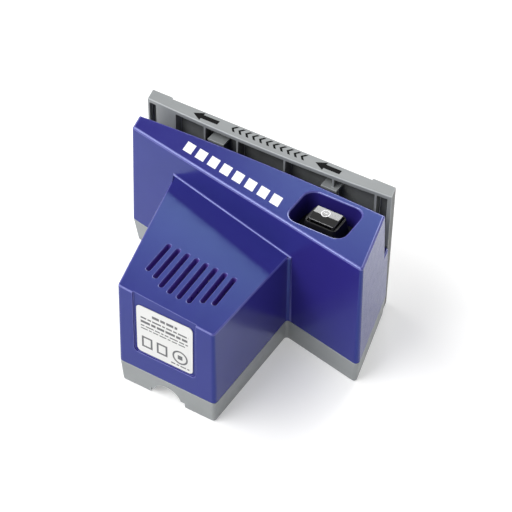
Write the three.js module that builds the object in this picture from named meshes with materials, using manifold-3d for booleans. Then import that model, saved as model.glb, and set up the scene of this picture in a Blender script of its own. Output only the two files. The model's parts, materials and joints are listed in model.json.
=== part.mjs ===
// Powered edge tuning tool for skis and snowboards: a T-shaped blue housing on a grey tray,
// with a grey guide rail along its back and a motor-driven grinding wheel in the rail's window.
// Millimetres. +Z up, +X along the guide rail, +Y out through the rail. The tray rests on z = 0.
import * as THREE from "three";
import { mergeVertices } from "three/addons/utils/BufferGeometryUtils.js";
import Module from "manifold-3d";

const wasm = await Module();
wasm.setup();

// ---------------------------------------------------------------- driving dimensions
const GAP = 0.3; // space left between neighbouring pieces
const WALL = 2.2; // moulded wall thickness
const SEAM_Z = 14.4; // joint between the tray and the cover
const BAR_TOP_Z = 80.4;
const LEDGE_Z = 48.2; // step in the back of the cover

// The bar's long front is turned a little, and all the ends share one slant.
const END_SLANT = -0.236; // x per y along the ends of bar and rail
const FRONT_SLANT = -0.19; // y per x along the bar's front
const BAR_FRONT_Y = 15.55; // at x = 0, on the seam
const BAR_LEFT_X = -70.4; // end lines, at y = 0, on the seam
const BAR_RIGHT_X = 83.4;
const BAR_LOW_BACK_Y = 53.2;
const BAR_DRAFT = 1.8; // inset of the bar's faces from the seam to its top

const STEM_FRONT_Y = -61.5;
const STEM_RIGHT_X = 35.6;
const STEM_LEFT_X = -39.3; // at y = 0, on the seam
const STEM_SLANT = -0.27; // x per y along the stem's left side
const STEM_DRAFT = 1.3;
const STEM_TOP_Z = 63.15; // at x = 0, y = 0, where the sloping top would pass
const STEM_TOP_DX = -0.0868; // fall of the top per mm towards +X
const STEM_TOP_DY = -0.0571; // and per mm towards +Y

const RAIL_LENGTH = 150;
const RAIL_TOP_Z = 83.4;
const RAIL_BACK_Y = 61.5; // sliding face of the end pads
const RAIL_LEFT_X = -82.7; // at the back
const RAIL_DEPTH = 8;
const RAIL_BOW = 2.5; // the lip swells this much towards the bar in its middle
const PAD_LENGTH = 13.3;
const PAD_STEP = 1.2;
const LIP = 2.4;
const PLATE = 2.6;

const AXIS_X = 6; // spindle axis, along Y
const AXIS_Z = 36;
const SHAFT_R = 2.5;
const MOTOR_R = 18;
const MOTOR_FRONT_Y = 28;
const MOTOR_LENGTH = 50;
const WHEEL_R = 22;
const SPINDLE_HOLE_R = 11; // in the cover's back wall
const FLANGE_R = 10;
const WHEEL_BACK_Y = 54.4;
const WHEEL_FACE_Y = 61.4;

const BUTTON_X = 44.7; // centre of the rocker switch
const BUTTON_Y = 29.3;
const BUTTON_W = 15.2;
const BUTTON_D = 10.2;
const BUTTON_TOP_Z = 77.4;
const POCKET_X = 45.4;
const POCKET_Y = 27.4;
const POCKET_W = 33;
const POCKET_D = 25.4;
const POCKET_DEPTH = 15;
const POCKET_R = 6;
const POCKET_FLARE = 0.5; // its sides lean out by this towards the top
const TUB_WALL = 1.8; // the wall round the pocket
const TUB_FLOOR = 3;
const SWITCH_HALF_X = 9.4; // the switch's body under the pocket's floor
const SWITCH_HALF_Y = 6.4;
const SWITCH_CLEARANCE = 0.4;

const ARCH_X = 5.9; // cable arch in the front of the tray
const ARCH_R = 8.1;
const ARCH_Z = 1.5;
const ARCH_STEP = 3;
const TUNNEL_BACK_Y = -47;

const SCREW_R = 1.5;
const SCREW_HOLE_R = 1.8;

// ---------------------------------------------------------------- solids
function solid(geometry) {
  const bare = geometry.index ? geometry.toNonIndexed() : geometry.clone();
  bare.deleteAttribute("normal");
  bare.deleteAttribute("uv");
  const merged = mergeVertices(bare, 1e-4);
  return new wasm.Manifold(
    new wasm.Mesh({
      numProp: 3,
      vertProperties: new Float32Array(merged.attributes.position.array),
      triVerts: new Uint32Array(merged.index.array),
    }),
  );
}

function geometryOf(shape) {
  const mesh = shape.getMesh();
  const geometry = new THREE.BufferGeometry();
  const positions = new Float32Array(mesh.numVert * 3);
  for (let i = 0; i < mesh.numVert; i += 1) {
    const start = i * mesh.numProp;
    positions.set(mesh.vertProperties.subarray(start, start + 3), i * 3);
  }
  geometry.setAttribute("position", new THREE.BufferAttribute(positions, 3));
  geometry.setIndex(new THREE.BufferAttribute(mesh.triVerts, 1));
  geometry.computeVertexNormals();
  return geometry;
}

function join(first, ...others) {
  return others.reduce((sum, other) => sum.add(other), first);
}

function cut(first, ...others) {
  return others.reduce((rest, other) => rest.subtract(other), first);
}

function box(x0, x1, y0, y1, z0, z1) {
  const geometry = new THREE.BoxGeometry(x1 - x0, y1 - y0, z1 - z0);
  geometry.translate((x0 + x1) / 2, (y0 + y1) / 2, (z0 + z1) / 2);
  return solid(geometry);
}

// A cylinder along Y, centred on (x, z).
function rodY(radius, y0, y1, x = AXIS_X, z = AXIS_Z, sides = 32) {
  const geometry = new THREE.CylinderGeometry(radius, radius, y1 - y0, sides);
  geometry.translate(x, (y0 + y1) / 2, z);
  return solid(geometry);
}

// A cylinder along Z, centred on (x, y).
function rodZ(radius, z0, z1, x, y, sides = 16) {
  const geometry = new THREE.CylinderGeometry(radius, radius, z1 - z0, sides);
  geometry.rotateX(Math.PI / 2);
  geometry.translate(x, y, (z0 + z1) / 2);
  return solid(geometry);
}

function tubeY(outer, inner, y0, y1, sides = 32) {
  const hole = rodY(inner, y0 - 1, y1 + 1, AXIS_X, AXIS_Z, sides);
  return cut(rodY(outer, y0, y1, AXIS_X, AXIS_Z, sides), hole);
}

// An outline in (x, z) pushed along Y.
function slabY(points, y0, y1) {
  const shape = new THREE.Shape(points.map(([x, z]) => new THREE.Vector2(x, z)));
  const geometry = new THREE.ExtrudeGeometry(shape, { depth: y1 - y0, bevelEnabled: false });
  geometry.rotateX(Math.PI / 2);
  geometry.translate(0, y1, 0);
  return solid(geometry);
}

// An outline in (x, y) pushed along Z. With an upper outline of as many points the sides lean.
function slabZ(lower, z0, z1, upper = lower) {
  const shape = new THREE.Shape(lower);
  const geometry = new THREE.ExtrudeGeometry(shape, { depth: z1 - z0, bevelEnabled: false });
  const position = geometry.attributes.position;
  for (let i = 0; i < position.count; i += 1) {
    if (position.getZ(i) > 0) {
      const distances = lower.map((p) => Math.hypot(p.x - position.getX(i), p.y - position.getY(i)));
      const target = upper[distances.indexOf(Math.min(...distances))];
      position.setXY(i, target.x, target.y);
    }
  }
  geometry.translate(0, 0, z0);
  return solid(geometry);
}

// ---------------------------------------------------------------- outlines
// A line is a point and a direction; the outline's inside is to the line's left.
function line(x, y, dx, dy) {
  const length = Math.hypot(dx, dy);
  return { x, y, dx: dx / length, dy: dy / length };
}

function shifted(from, inset) {
  return { ...from, x: from.x - from.dy * inset, y: from.y + from.dx * inset };
}

function crossing(a, b) {
  const turn = a.dx * b.dy - a.dy * b.dx;
  const along = ((b.x - a.x) * b.dy - (b.y - a.y) * b.dx) / turn;
  return new THREE.Vector2(a.x + a.dx * along, a.y + a.dy * along);
}

// The closed outline of lines taken in turn, each moved in by its inset, its corners rounded.
function outline(lines, insets, radii, steps = 5) {
  const moved = lines.map((one, i) => shifted(one, insets[i]));
  const points = [];
  moved.forEach((one, i) => {
    const next = moved[(i + 1) % moved.length];
    const corner = crossing(one, next);
    const across = one.dx * next.dy - one.dy * next.dx;
    const turn = Math.atan2(across, one.dx * next.dx + one.dy * next.dy);
    const radius = radii[i];
    if (radius === 0) {
      points.push(corner);
      return;
    }
    const setback = radius * Math.tan(Math.abs(turn) / 2);
    const side = Math.sign(turn);
    const start = new THREE.Vector2(corner.x - one.dx * setback, corner.y - one.dy * setback);
    const centre = new THREE.Vector2(start.x - one.dy * radius * side, start.y + one.dx * radius * side);
    for (let k = 0; k <= steps; k += 1) {
      const arm = start.clone().sub(centre);
      arm.rotateAround(new THREE.Vector2(), (turn * k) / steps);
      points.push(arm.add(centre));
    }
  });
  return points;
}

const frontLine = line(0, BAR_FRONT_Y, 1, FRONT_SLANT);
const rightLine = line(BAR_RIGHT_X, 0, END_SLANT, 1);
const leftLine = line(BAR_LEFT_X, 0, -END_SLANT, -1);
const backLine = (y) => line(0, y, -1, 0);
const stemFrontLine = line(0, STEM_FRONT_Y, 1, 0);
const stemRightLine = line(STEM_RIGHT_X, 0, 0, 1);
const stemLeftLine = line(STEM_LEFT_X, 0, -STEM_SLANT, -1);
const STEM_ROOT_Y = 30; // the stem's solid ends inside the bar
const CORNER_R = 2.2; // upright edges
const LEAST_CORNER_R = 1.2;

function cornerRadius(inset) {
  return Math.max(CORNER_R - inset / 2, LEAST_CORNER_R);
}

function barOutline(inset, backY = BAR_LOW_BACK_Y, endInset = inset) {
  const radius = cornerRadius(inset);
  return outline(
    [frontLine, rightLine, backLine(backY), leftLine],
    [inset, inset, 0, endInset],
    [radius, radius, radius, radius],
  );
}

function stemOutline(inset, endInset = inset) {
  const radius = cornerRadius(inset);
  return outline(
    [stemFrontLine, stemRightLine, backLine(STEM_ROOT_Y), stemLeftLine],
    [inset, inset, 0, endInset],
    [radius, 0, 0, radius],
  );
}

// Fills the inside corner where one wall meets another with a fillet. The first wall is left
// along its direction, the second is met along its own.
function cornerFill(first, second, inset, radius) {
  const a = shifted(first, inset);
  const b = shifted(second, inset);
  const corner = crossing(a, b);
  const along = (one, sign) => new THREE.Vector2(one.dx * sign, one.dy * sign);
  const [away, onward] = [along(a, first.leave), along(b, second.leave)];
  const half = Math.acos(away.dot(onward)) / 2;
  const setback = radius / Math.tan(half);
  const start = corner.clone().addScaledVector(away, setback);
  const centre = away.clone().add(onward).normalize().multiplyScalar(radius / Math.sin(half)).add(corner);
  const sweep = (Math.PI - 2 * half) * Math.sign(away.x * onward.y - away.y * onward.x);
  const points = [corner.clone().addScaledVector(away.clone().add(onward), -1)];
  const steps = 8;
  for (let k = 0; k <= steps; k += 1) {
    points.push(start.clone().rotateAround(centre, (-sweep * k) / steps));
  }
  return sweep > 0 ? points : points.reverse();
}

const FILLET_RIGHT = 1.8; // inside corners between stem and bar
const FILLET_LEFT = 1.5;

function cornerFills(insetLow, insetHigh, z0, z1) {
  const pairs = [
    [{ ...stemRightLine, leave: -1 }, { ...frontLine, leave: 1 }, FILLET_RIGHT],
    [{ ...stemLeftLine, leave: 1 }, { ...frontLine, leave: -1 }, FILLET_LEFT],
  ];
  const fills = pairs.map(([one, other, radius]) =>
    slabZ(cornerFill(one, other, insetLow, radius), z0, z1, cornerFill(one, other, insetHigh, radius)),
  );
  return join(...fills);
}

// All that lies behind the cover's upper back wall, which leans in and bows towards the rail.
const UPPER_BACK_FOOT = { y: 45.5, bow: 0.8 };
const UPPER_BACK_TOP = { y: 42.3, bow: 2.4 };
const FAR_X = 110; // clear of every face
const FAR_Y = 80;

function behindUpperBack(depth) {
  const plan = ({ y, bow }) => {
    const points = [new THREE.Vector2(FAR_X, FAR_Y), new THREE.Vector2(-FAR_X, FAR_Y)];
    const steps = 20;
    const half = 80; // the bow fades out this far from x = 0
    for (let k = 0; k <= steps; k += 1) {
      const x = half * ((2 * k) / steps - 1);
      const swell = bow * (1 - (x / half) ** 2);
      points.push(new THREE.Vector2(x, y + swell - depth));
    }
    return points;
  };
  return slabZ(plan(UPPER_BACK_FOOT), LEDGE_Z - depth, BAR_TOP_Z, plan(UPPER_BACK_TOP));
}

// Everything above the stem's sloping top, lowered by a depth.
function aboveStem(depth) {
  const size = 400;
  const geometry = new THREE.BoxGeometry(size, size, size);
  geometry.translate(0, 0, size / 2);
  const normal = new THREE.Vector3(-STEM_TOP_DX, -STEM_TOP_DY, 1).normalize();
  const turn = new THREE.Quaternion().setFromUnitVectors(new THREE.Vector3(0, 0, 1), normal);
  geometry.applyQuaternion(turn);
  geometry.translate(0, 0, STEM_TOP_Z - depth);
  return solid(geometry);
}

function roundedBox(cx, cy, width, depth, radius, z0, z1, flare = 0) {
  const sides = (grow) => [
    line(0, cy - depth / 2 - grow, 1, 0),
    line(cx + width / 2 + grow, 0, 0, 1),
    line(0, cy + depth / 2 + grow, -1, 0),
    line(cx - width / 2 - grow, 0, 0, -1),
  ];
  const radii = [radius, radius, radius, radius];
  const none = [0, 0, 0, 0];
  return slabZ(outline(sides(0), none, radii), z0, z1, outline(sides(flare), none, radii));
}

// ---------------------------------------------------------------- scene graph
const group = new THREE.Group();
const FINISHES = {
  blue_plastic: { color: 0x2f3492, roughness: 0.28, metalness: 0 },
  grey_plastic: { color: 0x9aa0a2, roughness: 0.5, metalness: 0 },
  black_plastic: { color: 0x16171a, roughness: 0.35, metalness: 0 },
  black_rubber: { color: 0x202124, roughness: 0.8, metalness: 0 },
  label_white: { color: 0xf0f0ee, roughness: 0.5, metalness: 0 },
  steel: { color: 0xa5a9ad, roughness: 0.35, metalness: 1 },
  brass: { color: 0xc2a04c, roughness: 0.35, metalness: 1 },
  copper: { color: 0xb8693f, roughness: 0.4, metalness: 1 },
  magnet: { color: 0x3a3a3d, roughness: 0.7, metalness: 0.3 },
  abrasive: { color: 0xb4552f, roughness: 0.95, metalness: 0 },
  ceramic_orange: { color: 0xc8632a, roughness: 0.6, metalness: 0 },
  wire_red: { color: 0xb3261c, roughness: 0.45, metalness: 0 },
  wire_black: { color: 0x1b1b1d, roughness: 0.5, metalness: 0 },
};
const materials = Object.fromEntries(
  Object.entries(FINISHES).map(([name, look]) => [name, new THREE.MeshStandardMaterial(look)]),
);

function add(name, shape, finish) {
  const mesh = new THREE.Mesh(geometryOf(shape), materials[finish]);
  mesh.name = name;
  group.add(mesh);
}

// ---------------------------------------------------------------- screws
const HEAD_R = 2.9;
const HEAD_H = 2;
const DRIVE_HALF_LENGTH = 2; // the driver's slot across the head
const DRIVE_HALF_WIDTH = 0.4;
const DRIVE_DEPTH = 0.7;

// A pan-head screw along Z with its head's underside at z, its tip at tipZ.
function screwZ(x, y, z, tipZ) {
  const up = tipZ > z;
  const head = up ? rodZ(HEAD_R, z - HEAD_H, z, x, y) : rodZ(HEAD_R, z, z + HEAD_H, x, y);
  const shank = up ? rodZ(SCREW_R, z - 0.5, tipZ, x, y, 12) : rodZ(SCREW_R, tipZ, z + 0.5, x, y, 12);
  const driveLow = up ? z - HEAD_H - 1 : z + HEAD_H - DRIVE_DEPTH;
  const drive = box(
    x - DRIVE_HALF_LENGTH,
    x + DRIVE_HALF_LENGTH,
    y - DRIVE_HALF_WIDTH,
    y + DRIVE_HALF_WIDTH,
    driveLow,
    driveLow + DRIVE_DEPTH + 1,
  );
  return cut(join(head, shank), drive);
}

// Posts that join cover and tray, each at the foot of a wall.
const COVER_POSTS = [
  [-74.4, 47.9],
  [63.6, 48],
  [75.2, 8],
  [30.2, -52],
  [-19.6, -52],
];
const POST_R = 3.5;
const POST_TOP_Z = 34;
const COVER_SCREW_HEAD_Z = 4.6;
const COVER_SCREW_TIP_Z = 27;

// Screws through the rail's back into the cover: x and z.
const RAIL_SCREWS = [
  [-66, 22],
  [-66, 40],
  [49.5, 22],
  [49.5, 40],
];
const RAIL_BOSS_R = 4;

// ---------------------------------------------------------------- cover
function coverOuter() {
  const base = SEAM_Z + GAP;
  const bar = slabZ(barOutline(0), base, BAR_TOP_Z, barOutline(BAR_DRAFT));
  const stem = slabZ(stemOutline(0), base, BAR_TOP_Z, stemOutline(STEM_DRAFT));
  const fills = cornerFills(0, STEM_DRAFT, base, BAR_TOP_Z);
  return join(cut(bar, behindUpperBack(0)), cut(join(stem, fills), aboveStem(0)));
}

function coverInner() {
  const base = SEAM_Z - 5;
  const top = BAR_TOP_Z - WALL;
  const backY = BAR_LOW_BACK_Y - WALL;
  const bar = slabZ(barOutline(WALL, backY), base, top, barOutline(WALL + BAR_DRAFT, backY));
  const stem = slabZ(stemOutline(WALL), base, BAR_TOP_Z, stemOutline(WALL + STEM_DRAFT));
  return join(cut(bar, behindUpperBack(WALL)), cut(stem, aboveStem(WALL)));
}

// Eight cooling slots in the stem's top: round-ended, in line at the back, shorter at the sides.
const SLOT_COUNT = 8;
const SLOT_PITCH = 5.6;
const SLOT_WIDTH = 2.4;
const SLOT_FIRST_X = -17.6;
const SLOT_BACK_Y = -20.2;
const SLOT_LEAN = -0.065; // x per y
const SLOT_LENGTHS = [22.8, 25, 28.6, 29.6, 29.8, 29.2, 25, 22.8];
const SLOT_DEPTH = 4.6;
const SLOT_BORDER = 2.5;
const ROOF_ZONE_LOW_Z = 50; // the sloping top over the slots lies between these
const ROOF_ZONE_HIGH_Z = 80;

function ventCutters() {
  const cutters = [];
  for (let i = 0; i < SLOT_COUNT; i += 1) {
    const shape = new THREE.Shape();
    const r = SLOT_WIDTH / 2;
    const length = SLOT_LENGTHS[i];
    shape.absarc(0, -r, r, 0, Math.PI, false);
    shape.absarc(0, r - length, r, Math.PI, 2 * Math.PI, false);
    const depth = ROOF_ZONE_HIGH_Z - ROOF_ZONE_LOW_Z;
    const geometry = new THREE.ExtrudeGeometry(shape, { depth, bevelEnabled: false, curveSegments: 5 });
    geometry.rotateZ(Math.atan(-SLOT_LEAN));
    geometry.translate(SLOT_FIRST_X + SLOT_PITCH * i, SLOT_BACK_Y, ROOF_ZONE_LOW_Z);
    cutters.push(solid(geometry));
  }
  return cutters;
}

// Shallow label bay in the stem's front, open to the top.
const LABEL_LEFT_X = -11.5;
const LABEL_RIGHT_X = 22;
const LABEL_LOW_Z = 28.2;
const LABEL_HIGH_Z = 60.4;
const LABEL_DEPTH = 1;
const LABEL_R = 2.5;
const LABEL_THICK = 0.4;
const LABEL_GLUE = 0.15; // space behind the label
const BAY_GAP_LEFT = 1.8; // from the label to the bay's edges
const BAY_GAP_RIGHT = 2;
const BAY_GAP_LOW = 1.2;
const BAY_TOP_Z = 75; // above the sloping top
const BAY_BACK_SIDE = 4; // how far the thicker wall behind the bay reaches past the label
const BAY_BACK_LOW = 3.5;

// Depth of the leaning front face at height z.
function stemFrontAt(z) {
  return STEM_FRONT_Y + (STEM_DRAFT * (z - SEAM_Z - GAP)) / (BAR_TOP_Z - SEAM_Z - GAP);
}

// A slab that leans with the stem's front face, from depth0 to depth1 behind it.
function frontSlab(x0, x1, z0, z1, depth0, depth1) {
  const rectangle = (z) => [
    new THREE.Vector2(x0, stemFrontAt(z) + depth0),
    new THREE.Vector2(x1, stemFrontAt(z) + depth0),
    new THREE.Vector2(x1, stemFrontAt(z) + depth1),
    new THREE.Vector2(x0, stemFrontAt(z) + depth1),
  ];
  return slabZ(rectangle(z0), z0, z1, rectangle(z1));
}

// A slab that leans with the front face, with rounded corners in its own plane.
function roundedFrontSlab(x0, x1, z0, z1, depth0, depth1, radius) {
  const sides = [line(0, z0, 1, 0), line(x1, 0, 0, 1), line(0, z1, -1, 0), line(x0, 0, 0, -1)];
  const corners = outline(sides, [0, 0, 0, 0], [radius, radius, radius, radius]);
  const face = corners.map((point) => [point.x, point.y]);
  const prism = slabY(face, STEM_FRONT_Y - 10, STEM_FRONT_Y + 10);
  return frontSlab(x0 - 1, x1 + 1, z0 - 1, z1 + 1, depth0, depth1).intersect(prism);
}

// The roof is thicker round the cooling slots, so they are deep and narrow.
function ventPad() {
  const longest = Math.max(...SLOT_LENGTHS);
  const pad = box(
    SLOT_FIRST_X - SLOT_BORDER,
    SLOT_FIRST_X + SLOT_PITCH * (SLOT_COUNT - 1) + SLOT_BORDER,
    SLOT_BACK_Y - longest - SLOT_BORDER,
    SLOT_BACK_Y + SLOT_BORDER,
    ROOF_ZONE_LOW_Z,
    ROOF_ZONE_HIGH_Z,
  );
  return cut(pad.intersect(aboveStem(SLOT_DEPTH)), aboveStem(0.5));
}

function topCover() {
  const bay = roundedFrontSlab(
    LABEL_LEFT_X - BAY_GAP_LEFT,
    LABEL_RIGHT_X + BAY_GAP_RIGHT,
    LABEL_LOW_Z - BAY_GAP_LOW,
    BAY_TOP_Z,
    -5,
    LABEL_DEPTH,
    LABEL_R,
  );
  const bayBack = frontSlab(
    LABEL_LEFT_X - BAY_BACK_SIDE,
    LABEL_RIGHT_X + BAY_BACK_SIDE,
    LABEL_LOW_Z - BAY_BACK_LOW,
    BAY_TOP_Z,
    LABEL_DEPTH,
    WALL + LABEL_DEPTH,
  );
  const outer = coverOuter();
  let shell = cut(outer, coverInner());
  shell = join(shell, cut(bayBack, aboveStem(0.5)), ventPad());
  const pocketFloorZ = BAR_TOP_Z - POCKET_DEPTH;
  const tub = roundedBox(
    POCKET_X,
    POCKET_Y,
    POCKET_W + 2 * TUB_WALL,
    POCKET_D + 2 * TUB_WALL,
    POCKET_R,
    pocketFloorZ - TUB_FLOOR,
    BAR_TOP_Z,
  );
  shell = join(shell, tub.intersect(outer));
  COVER_POSTS.forEach(([x, y]) => {
    shell = join(shell, rodZ(POST_R, SEAM_Z + GAP, POST_TOP_Z, x, y));
  });
  RAIL_SCREWS.forEach(([x, z]) => {
    shell = join(shell, rodY(RAIL_BOSS_R, BAR_LOW_BACK_Y - 10, BAR_LOW_BACK_Y - 1, x, z, 16));
  });
  const hollow = roundedBox(
    POCKET_X,
    POCKET_Y,
    POCKET_W - 2 * POCKET_FLARE,
    POCKET_D - 2 * POCKET_FLARE,
    POCKET_R,
    pocketFloorZ,
    BAR_TOP_Z + 1,
    POCKET_FLARE,
  );
  const holeX = SWITCH_HALF_X + SWITCH_CLEARANCE;
  const holeY = SWITCH_HALF_Y + SWITCH_CLEARANCE;
  const switchHole = box(
    BUTTON_X - holeX,
    BUTTON_X + holeX,
    BUTTON_Y - holeY,
    BUTTON_Y + holeY,
    pocketFloorZ - 10,
    pocketFloorZ + 5,
  );
  const spindleHole = rodY(SPINDLE_HOLE_R, BAR_LOW_BACK_Y - 8, BAR_LOW_BACK_Y + 7);
  shell = cut(shell, bay, hollow, switchHole, spindleHole, ...ventCutters());
  COVER_POSTS.forEach(([x, y]) => {
    shell = cut(shell, rodZ(SCREW_HOLE_R, SEAM_Z - 1, POST_TOP_Z - 4, x, y, 12));
  });
  RAIL_SCREWS.forEach(([x, z]) => {
    shell = cut(shell, rodY(SCREW_HOLE_R, BAR_LOW_BACK_Y - 8, BAR_LOW_BACK_Y + 1, x, z, 12));
  });
  return shell;
}

// ---------------------------------------------------------------- tray
const FLOOR = 2;
const TRAY_INSET = 1; // the skirt leans in by this towards its foot
const TRAY_LEFT_INSET = 2.8; // and by more at the bar's left end
const SADDLES = [-14, 16];
const STRAP_Y = 4;
const STRAP_POST_DX = 22.8;
const STRAP_POST_TOP_Z = 19;
const PLATE_BOSS_DX = 23;
const PLATE_BOSS_Y = 44;
const PLATE_BOSS_TOP_Z = 4.2;
const PLATE_BOSS_R = 4;
const STRAP_POST_R = 3.2;
const HEAD_HOLE_R = 3.2; // counterbores for the cover screws
const POST_COLLAR = 0.8; // the tray's posts are this much thicker than the cover's
const TUNNEL_WALL = 1.8;
const ARCH_STEP_HALF_WIDTH = 10.5;
const SADDLE_HALF_WIDTH = 20;
const SADDLE_HALF_THICK = 1.5;
const SADDLE_TOP_Z = 27;
const JACK_Z = 5.6;
const JACK_HOLE_R = 3.6;

function archCutter(grow, y0, y1) {
  const round = rodY(ARCH_R + grow, y0, y1, ARCH_X, ARCH_Z, 40);
  const step = box(ARCH_X - ARCH_STEP_HALF_WIDTH, ARCH_X + ARCH_STEP_HALF_WIDTH, y0, y1, -5, ARCH_STEP);
  return grow > 0 ? round : join(round, step);
}

function baseShell() {
  const top = SEAM_Z;
  const bar = slabZ(barOutline(TRAY_INSET, BAR_LOW_BACK_Y, TRAY_LEFT_INSET), 0, top, barOutline(0));
  const fills = cornerFills(TRAY_INSET, 0, 0, top);
  const stem = join(slabZ(stemOutline(TRAY_INSET), 0, top, stemOutline(0)), fills);
  const barRoom = slabZ(
    barOutline(WALL + TRAY_INSET, BAR_LOW_BACK_Y - WALL, WALL + TRAY_LEFT_INSET),
    FLOOR,
    top + 1,
    barOutline(WALL, BAR_LOW_BACK_Y - WALL),
  );
  const stemRoom = slabZ(stemOutline(WALL + TRAY_INSET), FLOOR, top + 1, stemOutline(WALL));
  let tray = cut(join(bar, stem), join(barRoom, stemRoom));
  const roof = archCutter(TUNNEL_WALL, STEM_FRONT_Y + 1.5, TUNNEL_BACK_Y + 2);
  tray = join(tray, cut(roof, box(-50, 60, -80, 0, -20, 0)));
  SADDLES.forEach((y) => {
    const block = box(
      AXIS_X - SADDLE_HALF_WIDTH,
      AXIS_X + SADDLE_HALF_WIDTH,
      y - SADDLE_HALF_THICK,
      y + SADDLE_HALF_THICK,
      FLOOR - 0.5,
      SADDLE_TOP_Z,
    );
    tray = join(tray, cut(block, rodY(MOTOR_R + GAP, y - 3, y + 3)));
  });
  [-1, 1].forEach((side) => {
    const strapX = AXIS_X + side * STRAP_POST_DX;
    tray = join(tray, rodZ(STRAP_POST_R, FLOOR - 0.5, STRAP_POST_TOP_Z, strapX, STRAP_Y));
    tray = cut(tray, rodZ(SCREW_HOLE_R, 8, STRAP_POST_TOP_Z + 1, strapX, STRAP_Y, 12));
    const bossX = AXIS_X + side * PLATE_BOSS_DX;
    tray = join(tray, rodZ(PLATE_BOSS_R, FLOOR - 0.5, PLATE_BOSS_TOP_Z, bossX, PLATE_BOSS_Y));
    tray = cut(tray, rodZ(SCREW_HOLE_R, 0.8, PLATE_BOSS_TOP_Z + 1, bossX, PLATE_BOSS_Y, 12));
  });
  COVER_POSTS.forEach(([x, y]) => {
    tray = join(tray, rodZ(POST_R + POST_COLLAR, 0.5, SEAM_Z, x, y).intersect(join(bar, stem)));
    tray = cut(tray, rodZ(SCREW_HOLE_R, 0, SEAM_Z + 1, x, y, 12));
    tray = cut(tray, rodZ(HEAD_HOLE_R, -1, COVER_SCREW_HEAD_Z, x, y));
  });
  const jackHole = rodY(JACK_HOLE_R, TUNNEL_BACK_Y - 1, TUNNEL_BACK_Y + 4, ARCH_X, JACK_Z, 20);
  return cut(tray, archCutter(0, -70, TUNNEL_BACK_Y), jackHole);
}

// ---------------------------------------------------------------- rail
const RAIL_RIGHT_X = RAIL_LEFT_X + RAIL_LENGTH;
const RAIL_FRONT_Y = RAIL_BACK_Y - RAIL_DEPTH;
const PLATE_BACK_Y = RAIL_BACK_Y - PAD_STEP;
const PLATE_FRONT_Y = PLATE_BACK_Y - PLATE;
const LEFT_END_WALL = 1.2;
const RIGHT_END_WALL = 2.3;
const RIB = 1.1;
const RIB_X = [-43, -22.2, 6.9, 35.8, 60.2];
const BLOCK_X = [-75.2, -62]; // broad rib at the left
const WINDOW_R = WHEEL_R + 1.4;
const LUGS = [
  [-40, -30],
  [29.6, 39],
]; // shelves a little below the lip, from x to x
const LUG_TOP_Z = 75.7;
const LUG_THICK = 1.5;
const LUG_REACH = 3.5; // how far they stand out of the rail's ends' front line
const RIB_FRONT_Y = 45; // in front of the bowed lip
const RIB_BACK_Y = 58; // inside the plate
const RAIL_HEAD_Y = 58.4; // underside of the rail screws' heads
const RAIL_HEAD_H = 1.6;
const RAIL_HEAD_HOLE_R = 3.4;

function railLine(backX, side) {
  return line(backX, RAIL_BACK_Y, side * END_SLANT, side);
}

// The rail's plan: straight at the back, slanted ends, bowed front.
function railPlan(leftInset, rightInset, frontY, backY, bow) {
  const right = shifted(railLine(RAIL_RIGHT_X, 1), rightInset);
  const left = shifted(railLine(RAIL_LEFT_X, -1), leftInset);
  const front = backLine(frontY);
  const back = backLine(backY);
  const start = crossing(left, front);
  const end = crossing(right, front);
  const points = [];
  const steps = 20;
  for (let k = 0; k <= steps; k += 1) {
    const t = k / steps;
    const y = start.y - bow * 4 * t * (1 - t);
    points.push(new THREE.Vector2(start.x + (end.x - start.x) * t, y));
  }
  return [...points, crossing(right, back), crossing(left, back)];
}

function guideRail() {
  const block = slabZ(railPlan(0, 0, RAIL_FRONT_Y, RAIL_BACK_Y, RAIL_BOW), 0, RAIL_TOP_Z);
  const below = box(-FAR_X, FAR_X, 40, RAIL_FRONT_Y, -1, LEDGE_Z + 1);
  const roomPlan = railPlan(LEFT_END_WALL, RIGHT_END_WALL, 40, PLATE_FRONT_Y, 0);
  const room = slabZ(roomPlan, LIP, RAIL_TOP_Z - LIP);
  const ribs = RIB_X.map((x) => box(x - RIB / 2, x + RIB / 2, RIB_FRONT_Y, RIB_BACK_Y, 0, RAIL_TOP_Z));
  const broad = box(...BLOCK_X, RIB_FRONT_Y, RIB_BACK_Y, 0, RAIL_TOP_Z);
  const bosses = RAIL_SCREWS.map(([x, z]) => rodY(RAIL_BOSS_R, RAIL_FRONT_Y, RIB_BACK_Y, x, z, 16));
  const keep = join(broad, ...ribs, ...bosses);
  const lugs = LUGS.map(([x0, x1]) =>
    box(x0, x1, RAIL_FRONT_Y - LUG_REACH, RIB_BACK_Y, LUG_TOP_Z - LUG_THICK, LUG_TOP_Z),
  );
  const shape = join(cut(block, cut(room, keep)), ...lugs);
  const padGap = box(
    RAIL_LEFT_X + PAD_LENGTH,
    RAIL_RIGHT_X - PAD_LENGTH,
    PLATE_BACK_Y,
    RAIL_BACK_Y + 2,
    -1,
    RAIL_TOP_Z + 1,
  );
  const holes = RAIL_SCREWS.flatMap(([x, z]) => [
    rodY(SCREW_HOLE_R, 40, 70, x, z, 12),
    rodY(RAIL_HEAD_HOLE_R, RIB_BACK_Y, 70, x, z, 16),
  ]);
  return cut(shape, below, padGap, rodY(WINDOW_R, 40, 70, AXIS_X, AXIS_Z, 48), ...holes);
}

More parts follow.
